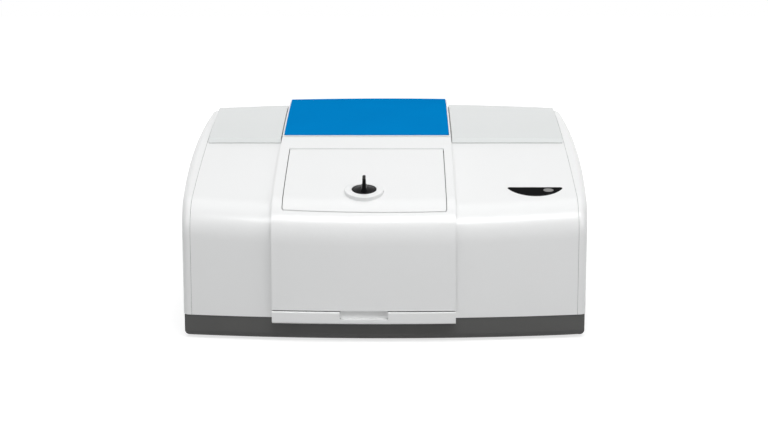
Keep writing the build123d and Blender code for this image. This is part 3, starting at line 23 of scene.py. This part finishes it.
# Studio. The photograph is a product cut-out on pure white, taken a little from above with a long
# lens. So the world is white to the camera, large soft lamps light the object evenly from the front,
# and a weak one behind, which leaves no mirror image on the glossy decks, lights the rear.
bpy.context.scene.view_settings.view_transform = "Standard"
LENS_PX = 1650.0
FRAME_PX = 768.0
CENTRE_SHIFT_PX = 12.8
CAMERA_PLACE = (0.01408, -2.0262, 0.4829)
CAMERA_DOWN = 0.18
camera_data = bpy.data.cameras.new("camera")
camera_data.sensor_width = 36.0
camera_data.lens = LENS_PX / FRAME_PX * camera_data.sensor_width
camera_data.shift_x = -CENTRE_SHIFT_PX / FRAME_PX
camera_data.clip_end = 20.0
camera = bpy.data.objects.new("camera", camera_data)
camera.location = CAMERA_PLACE
camera.rotation_euler = (math.pi / 2 - CAMERA_DOWN, 0.0, 0.0)
bpy.context.scene.collection.objects.link(camera)
bpy.context.scene.camera = camera
LAMP_AIM = (0.0, 0.0, 0.12)


def soft_lamp(name, place, size, watts, mirrored=True):
    """A rectangular area lamp at a place, turned to face the middle of the object."""
    data = bpy.data.lights.new(name, "AREA")
    data.shape = "RECTANGLE"
    data.size = size[0]
    data.size_y = size[1]
    data.energy = watts
    lamp = bpy.data.objects.new(name, data)
    lamp.location = place
    back = np.array(place) - np.array(LAMP_AIM)
    flat = math.hypot(back[0], back[1])
    lamp.rotation_euler = (math.atan2(flat, back[2]), 0.0, math.atan2(back[0], -back[1]))
    lamp.visible_glossy = mirrored
    bpy.context.scene.collection.objects.link(lamp)


soft_lamp("overhead", (0.0, 0.1, 2.0), (2.2, 1.6), 10.0)
soft_lamp("key", (0.15, -1.4, 2.0), (1.7, 0.55), 24.5)
soft_lamp("left_fill", (-1.45, -1.25, 1.2), (1.2, 1.2), 6.0)
soft_lamp("right_fill", (1.5, -1.2, 1.15), (1.2, 1.2), 8.5)
soft_lamp("rear_fill", (0.0, 2.0, 0.9), (1.8, 0.9), 11.0, mirrored=False)

world = bpy.data.worlds.new("studio")
bpy.context.scene.world = world
world.use_nodes = True
sky = world.node_tree
sky.nodes.clear()


class Wire:
    """A socket in a node tree that arithmetic can be done with."""

    def __init__(self, tree, socket):
        self.tree = tree
        self.socket = socket

    def reckon(self, operation, *operands, clamp=False):
        """A Math node of the given operation over these operands."""
        node = self.tree.nodes.new("ShaderNodeMath")
        node.operation = operation
        node.use_clamp = clamp
        for slot, operand in zip(node.inputs, operands):
            if isinstance(operand, Wire):
                self.tree.links.new(operand.socket, slot)
            else:
                slot.default_value = operand
        return Wire(self.tree, node.outputs[0])

    def __add__(self, other):
        return self.reckon("ADD", self, other)

    __radd__ = __add__

    def __sub__(self, other):
        return self.reckon("SUBTRACT", self, other)

    def __rsub__(self, other):
        return self.reckon("SUBTRACT", other, self)

    def __mul__(self, other):
        return self.reckon("MULTIPLY", self, other)

    __rmul__ = __mul__

    def __truediv__(self, other):
        return self.reckon("DIVIDE", self, other)

    def __rtruediv__(self, other):
        return self.reckon("DIVIDE", other, self)

    def __pow__(self, other):
        return self.reckon("POWER", self, other)

    def larger(self, other):
        """The larger of two values."""
        return self.reckon("MAXIMUM", self, other)

    def clip(self):
        """The value held between 0 and 1."""
        return self.reckon("ADD", self, 0.0, clamp=True)

    def between(self, low, high):
        """0 at or below low, 1 at or above high, and a straight ramp from one to the other."""
        return ((self - low) / (high - low)).clip()


def seen_directly(tree):
    """1 for camera, glossy and transmission rays in a node tree, and 0 for the rest."""
    rays = tree.nodes.new("ShaderNodeLightPath")
    camera_ray, glossy_ray, transmission_ray = (
        Wire(tree, rays.outputs[kind])
        for kind in ("Is Camera Ray", "Is Glossy Ray", "Is Transmission Ray")
    )
    return camera_ray.larger(glossy_ray).larger(transmission_ray).socket


ROOM_COLOUR = (0.97, 0.985, 1.0, 1.0)
ROOM_STRENGTH = 0.2
around = sky.nodes.new("ShaderNodeBackground")
around.inputs["Color"].default_value = ROOM_COLOUR
around.inputs["Strength"].default_value = ROOM_STRENGTH
white = sky.nodes.new("ShaderNodeBackground")
white.inputs["Color"].default_value = (1.0, 1.0, 1.0, 1.0)
white.inputs["Strength"].default_value = 1.0
choose = sky.nodes.new("ShaderNodeMixShader")
sky.links.new(seen_directly(sky), choose.inputs["Fac"])
sky.links.new(around.outputs[0], choose.inputs[1])
sky.links.new(white.outputs[0], choose.inputs[2])
sky_out = sky.nodes.new("ShaderNodeOutputWorld")
sky.links.new(choose.outputs[0], sky_out.inputs["Surface"])

# Floor: a roll of pale paper that runs into the white background. Seen directly it glows a little
# near the object, where it keeps the object's shadow, and more farther off, where the lamps hardly
# reach it, so that no horizon shows.
FLOOR_HALF = 6.0
PAPER_GREY = (0.45, 0.45, 0.45, 1.0)
NEAR_GLOW = 0.72
FAR_GLOW = 0.95
GLOW_RISES_FROM = 0.7
GLOW_RISES_TO = 2.6
floor_mesh = bpy.data.meshes.new("floor")
floor_corners = [
    (x * FLOOR_HALF, y * FLOOR_HALF, 0.0) for x, y in ((-1, -1), (1, -1), (1, 1), (-1, 1))
]
floor_mesh.from_pydata(floor_corners, [], [(0, 1, 2, 3)])
floor = bpy.data.objects.new("floor", floor_mesh)
bpy.context.scene.collection.objects.link(floor)
paper = bpy.data.materials.new("paper")
paper.use_nodes = True
sheet = paper.node_tree
sheet.nodes.clear()
matt = sheet.nodes.new("ShaderNodeBsdfDiffuse")
matt.inputs["Color"].default_value = PAPER_GREY
near_glow = sheet.nodes.new("ShaderNodeEmission")
near_glow.inputs["Strength"].default_value = NEAR_GLOW
far_glow = sheet.nodes.new("ShaderNodeEmission")
far_glow.inputs["Strength"].default_value = FAR_GLOW
sheet_place = sheet.nodes.new("ShaderNodeTexCoord")
away = sheet.nodes.new("ShaderNodeVectorMath")
away.operation = "LENGTH"
sheet.links.new(sheet_place.outputs["Object"], away.inputs[0])
farness = Wire(sheet, away.outputs["Value"]).between(GLOW_RISES_FROM, GLOW_RISES_TO)
glow = sheet.nodes.new("ShaderNodeMixShader")
sheet.links.new(farness.socket, glow.inputs["Fac"])
sheet.links.new(near_glow.outputs[0], glow.inputs[1])
sheet.links.new(far_glow.outputs[0], glow.inputs[2])
both = sheet.nodes.new("ShaderNodeAddShader")
sheet.links.new(matt.outputs[0], both.inputs[0])
sheet.links.new(glow.outputs[0], both.inputs[1])
pick = sheet.nodes.new("ShaderNodeMixShader")
sheet.links.new(seen_directly(sheet), pick.inputs["Fac"])
sheet.links.new(matt.outputs[0], pick.inputs[1])
sheet.links.new(both.outputs[0], pick.inputs[2])
sheet_out = sheet.nodes.new("ShaderNodeOutputMaterial")
sheet.links.new(pick.outputs[0], sheet_out.inputs["Surface"])
floor_mesh.materials.append(paper)


# White mouldings: hoods, end panels, middle cover, lid, collar, sill and the bridge's rear. They are
# injection-moulded ABS under a glossy sprayed lacquer, screwed down from inside, and a faint orange
# peel breaks up what they reflect.
class Finish:
    """A material with one Principled shader, whose constants are set on the shader's own sockets."""

    def __init__(self, name, colour, roughness, **constants):
        self.material = bpy.data.materials.new(name)
        self.material.use_nodes = True
        self.tree = self.material.node_tree
        self.tree.nodes.clear()
        self.shader = self.tree.nodes.new("ShaderNodeBsdfPrincipled")
        output = self.tree.nodes.new("ShaderNodeOutputMaterial")
        self.tree.links.new(self.shader.outputs[0], output.inputs["Surface"])
        self.shader.inputs["Base Color"].default_value = (*colour, 1.0)
        self.shader.inputs["Roughness"].default_value = roughness
        for socket, value in constants.items():
            self.shader.inputs[socket.replace("_", " ")].default_value = value
        self.tone = (*colour, 1.0)
        self.place = self.node("ShaderNodeTexCoord", {}, out="Object")

    def node(self, kind, inputs, out=0, **settings):
        """A node of a kind with its settings, and values or wires in its inputs; gives one output."""
        node = self.tree.nodes.new(kind)
        for setting, value in settings.items():
            setattr(node, setting, value)
        for slot, value in inputs.items():
            if isinstance(value, Wire):
                self.tree.links.new(value.socket, node.inputs[slot])
            else:
                node.inputs[slot].default_value = value
        return Wire(self.tree, node.outputs[out])

    def noise(self, per_metre, detail=2.0, roughness=0.5, stretch=(1.0, 1.0, 1.0)):
        """Soft noise from 0 to 1 with so many bumps to the metre, drawn out along the axes."""
        spot = self.node("ShaderNodeVectorMath", {0: self.place, 1: stretch}, operation="MULTIPLY")
        return self.node(
            "ShaderNodeTexNoise",
            {"Vector": spot, "Scale": per_metre, "Detail": detail, "Roughness": roughness},
        )

    def tint(self, factor, to):
        """Moves the colour so far towards another where the factor is high; calls add up."""
        colours = {0: factor, 6: self.tone, 7: (*to, 1.0)}
        self.tone = self.node("ShaderNodeMix", colours, out=2, data_type="RGBA")
        self.tree.links.new(self.tone.socket, self.shader.inputs["Base Color"])

    def vary_roughness(self, wire):
        """Feeds the shader's roughness."""
        self.tree.links.new(wire.socket, self.shader.inputs["Roughness"])

    def relief(self, height, depth):
        """Bumps of a depth in metres where the height goes from 0 to 1."""
        bump = self.node("ShaderNodeBump", {"Height": height, "Strength": 1.0, "Distance": depth})
        self.tree.links.new(bump.socket, self.shader.inputs["Normal"])

    def wear(self, *nodes):
        """Puts the finish on these CAD nodes."""
        for name in nodes:
            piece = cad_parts[name]
            piece.data.materials.clear()
            piece.data.materials.append(self.material)


# Painted shade in shut lines: how far the occlusion looks, its samples, and the near-black colour it
# paints.
SHUT_LINE_REACH = 0.003
SHUT_LINE_SAMPLES = 8
SHUT_LINE_PAINTED_SHADE = (0.04, 0.04, 0.04)


def lacquer(name, colour):
    """Glossy lacquer: fine orange peel, a trace of unevenness, and painted shade that darkens the shut
    lines.
    """
    finish = Finish(name, colour, 0.3, Coat_Weight=0.6, Coat_Roughness=0.24, Specular_IOR_Level=0.5)
    cloud = finish.noise(9.0, 3.0)
    finish.tint(cloud.between(0.35, 0.7) * 0.5, tuple(c * 0.975 for c in colour))
    reach = {"Distance": SHUT_LINE_REACH}
    # Painted shade: an ambient occlusion node darkens the colour to near black in shut lines and gaps,
    # where shade falls.
    openness = finish.node("ShaderNodeAmbientOcclusion", reach, out="AO", samples=SHUT_LINE_SAMPLES)
    finish.tint((1.0 - openness).between(0.5, 0.85), SHUT_LINE_PAINTED_SHADE)
    finish.vary_roughness(0.27 + finish.noise(60.0, 2.0) * 0.08)
    finish.relief(finish.noise(420.0, 1.5, 0.4), 0.000012)
    return finish


white_lacquer = lacquer("white_lacquer", (0.845, 0.85, 0.848))
white_lacquer.wear(
    "left_hood", "right_hood", "left_cheek", "right_cheek", "centre_cover", "port_lid", "lid_collar",
    "front_sill", "bridge_rear",
)

# Raised rear covers: separate moulded plates that stand proud on the rear of each hood and are held
# from inside. They have the same lacquer, a shade greyer.
grey_lacquer = lacquer("grey_lacquer", (0.67, 0.69, 0.685))
grey_lacquer.wear("left_rear_panel", "right_rear_panel")

# Blue cap: a thin cover over the raised rear bridge, moulded in blue ABS with a satin face and
# snapped on, so its edge stands a little above the white below it.
blue_finish = Finish("blue_satin", (0.0008, 0.225, 0.58), 0.55, Specular_IOR_Level=0.0)
blue_finish.tint(blue_finish.noise(14.0, 3.0).between(0.3, 0.8) * 0.6, (0.001, 0.2, 0.54))
blue_finish.vary_roughness(0.5 + blue_finish.noise(90.0) * 0.1)
blue_finish.relief(blue_finish.noise(1500.0, 2.0), 0.00001)
blue_finish.wear("blue_cap")


# Base tray: a deep dark grey moulding that carries all the rest, its outside finely eroded in the
# mould. Rubber feet are pressed into its underside.
def grained(name, colour, roughness, grain=0.00003, per_metre=1400.0):
    """Matt moulded plastic: an eroded grain and a little dust-like mottling."""
    finish = Finish(name, colour, roughness, Specular_IOR_Level=0.45)
    finish.tint(finish.noise(25.0, 4.0).between(0.35, 0.75) * 0.7, tuple(c * 1.12 for c in colour))
    finish.vary_roughness(roughness - 0.05 + finish.noise(200.0) * 0.1)
    finish.relief(finish.noise(per_metre, 3.0, 0.6), grain)
    return finish


grained("base_plastic", (0.07, 0.07, 0.068), 0.5).wear("base_tray")
grained("foot_rubber", (0.018, 0.018, 0.018), 0.8, 0.00006, 700.0).wear("feet")

# Indicator window: a half-moon of glossy black acrylic, glued flush into the right hood. Its face
# is polished, with the slight waviness of a cast sheet.
acrylic = Finish("black_acrylic", (0.0015, 0.0015, 0.0018), 0.06, Specular_IOR_Level=0.01)
acrylic.vary_roughness(0.05 + acrylic.noise(180.0, 3.0) * 0.04)
acrylic.relief(acrylic.noise(260.0, 1.0), 0.000006)
acrylic.wear("status_window")

# Power button: an oval of plastic with a satin metal coat, in a hole of the window. It moves down
# on a small spring.
silver = Finish("button_silver", (0.2, 0.195, 0.19), 0.32, Metallic=0.6)
silver.vary_roughness(0.26 + silver.noise(2600.0, 2.0) * 0.14)
silver.relief(silver.noise(3000.0, 2.0), 0.000008)
silver.wear("power_button")

# Knob: a glossy black moulding in phenolic plastic, a low cone with a thin upright grip. It turns
# in the lid and carries the latch arm below.
knob_black = Finish("knob_black", (0.003, 0.003, 0.0032), 0.22, Specular_IOR_Level=0.05)
knob_black.vary_roughness(0.18 + knob_black.noise(700.0, 3.0) * 0.12)
knob_black.relief(knob_black.noise(900.0, 2.0), 0.00001)
knob_black.wear("knob")


# Hinge ears, pins, latch and screws: pressed and turned steel, plated and lightly brushed. The
# rubber gasket is bonded into the lid's seat.
def brushed(name, colour, roughness, stretch, metal=1.0):
    """Brushed or machined metal: long fine streaks along one axis."""
    finish = Finish(name, colour, roughness, Metallic=metal)
    streak = finish.noise(2200.0, 3.0, 0.6, stretch)
    finish.tint(streak.between(0.3, 0.8) * 0.6, tuple(c * 0.85 for c in colour))
    finish.vary_roughness(roughness - 0.08 + streak * 0.16)
    finish.relief(streak, 0.000006)
    return finish


plated = brushed("plated_steel", (0.56, 0.56, 0.57), 0.32, (0.05, 1.0, 1.0))
plated.wear(
    "lid_hinge_ears", "lid_hinge_pins", "cover_hinge_ears", "cover_hinge_pins", "latch_arm", "latch_screw",
    "bench_screws", "inlet_pins", "data_socket", "coil_magnet",
)
grained("gasket_rubber", (0.016, 0.016, 0.016), 0.85, 0.00004, 1100.0).wear("lid_gasket")

# Sample compartment: dark moulded walls and floor, grained so that they scatter no light. Salt
# windows are clamped in the walls by turned and anodised rings, and the stand is milled.
grained("compartment_plastic", (0.05, 0.05, 0.051), 0.55, 0.00004, 900.0).wear(
    "compartment_floor", "compartment_left_wall", "compartment_right_wall", "compartment_rear_wall"
)
salt = Finish("salt_window", (0.93, 0.96, 0.97), 0.04, Transmission_Weight=0.85, IOR=1.5)
salt.vary_roughness(0.03 + salt.noise(120.0, 4.0) * 0.08)
salt.wear("left_beam_window", "right_beam_window", "beamsplitter")
anodised = Finish("black_anodised", (0.014, 0.014, 0.016), 0.38, Metallic=0.6)
anodised.vary_roughness(0.32 + anodised.noise(500.0, 3.0) * 0.14)
anodised.relief(anodised.noise(1800.0, 2.0), 0.000012)
anodised.wear("left_window_ring", "right_window_ring", "sample_stand", "source_housing", "detector")

# Sample card: pressed board, die-cut with a hole for the beam, with a slight fibre. It slides up
# and out of the stand's two grooves.
card = Finish("card_board", (0.62, 0.6, 0.52), 0.75)
card.tint(card.noise(600.0, 4.0, 0.7, (1.0, 1.0, 0.2)).between(0.35, 0.75), (0.5, 0.48, 0.41))
card.relief(card.noise(900.0, 3.0), 0.00002)
card.wear("sample_card")

# Rear plate and power supply: folded steel with a fine powder coat, screwed into the rear recess.
# The mains inlet, the switch and its rocker are moulded in black.
powder = grained("powder_coat", (0.4, 0.41, 0.42), 0.5, 0.00003, 1000.0)
powder.wear("rear_plate", "power_supply")
grained("socket_black", (0.012, 0.012, 0.012), 0.42, 0.00001, 1500.0).wear(
    "mains_inlet", "switch_body", "switch_rocker"
)

# Optics: milled aluminium mounts, screwed to a cast bench, and a control board under a green
# solder mask. The milling leaves fine streaks along one axis.
milled = brushed("milled_aluminium", (0.6, 0.61, 0.62), 0.3, (1.0, 0.06, 1.0))
milled.wear(
    "beamsplitter_mount", "fixed_mirror", "scan_guide", "moving_mirror", "laser_tube", "focus_mirror"
)
cast = grained("cast_aluminium", (0.42, 0.42, 0.43), 0.55, 0.00006, 500.0)
cast.wear("optical_bench")
board = grained("solder_mask", (0.012, 0.11, 0.04), 0.35, 0.00001, 1200.0)
board.wear("control_board")
